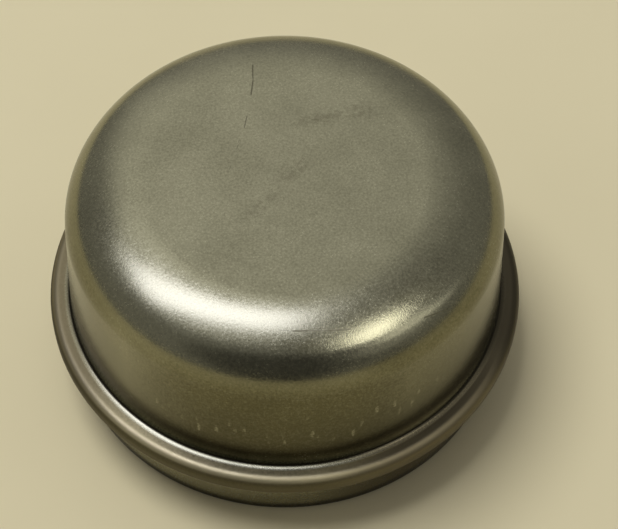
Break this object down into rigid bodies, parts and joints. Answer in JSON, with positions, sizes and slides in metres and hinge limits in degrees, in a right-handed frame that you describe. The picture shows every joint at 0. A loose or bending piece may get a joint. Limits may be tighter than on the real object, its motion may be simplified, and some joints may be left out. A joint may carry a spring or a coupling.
{
  "type": "hub grease cap",
  "caption": "Deep-drawn sheet steel cup with a rounded crown, a folded stop bead and a press-in skirt, which closes a wheel hub and holds its bearing grease.",
  "frame": {"origin": "centre of the open rim, in the plane of the rim", "axes": "+Z along the axis of the cap, from the open rim to the crown; X and Y lie in the rim plane and are free, because the cap is round"},
  "size_m": [0.0544, 0.0544, 0.0283],
  "materials": {
    "drawn_steel": "bare drawn sheet steel, satin, with fine drawing marks and light handling scratches"
  },
  "bodies": {
    "root": {"grease_cap": "drawn_steel"}
  },
  "joints": []
}
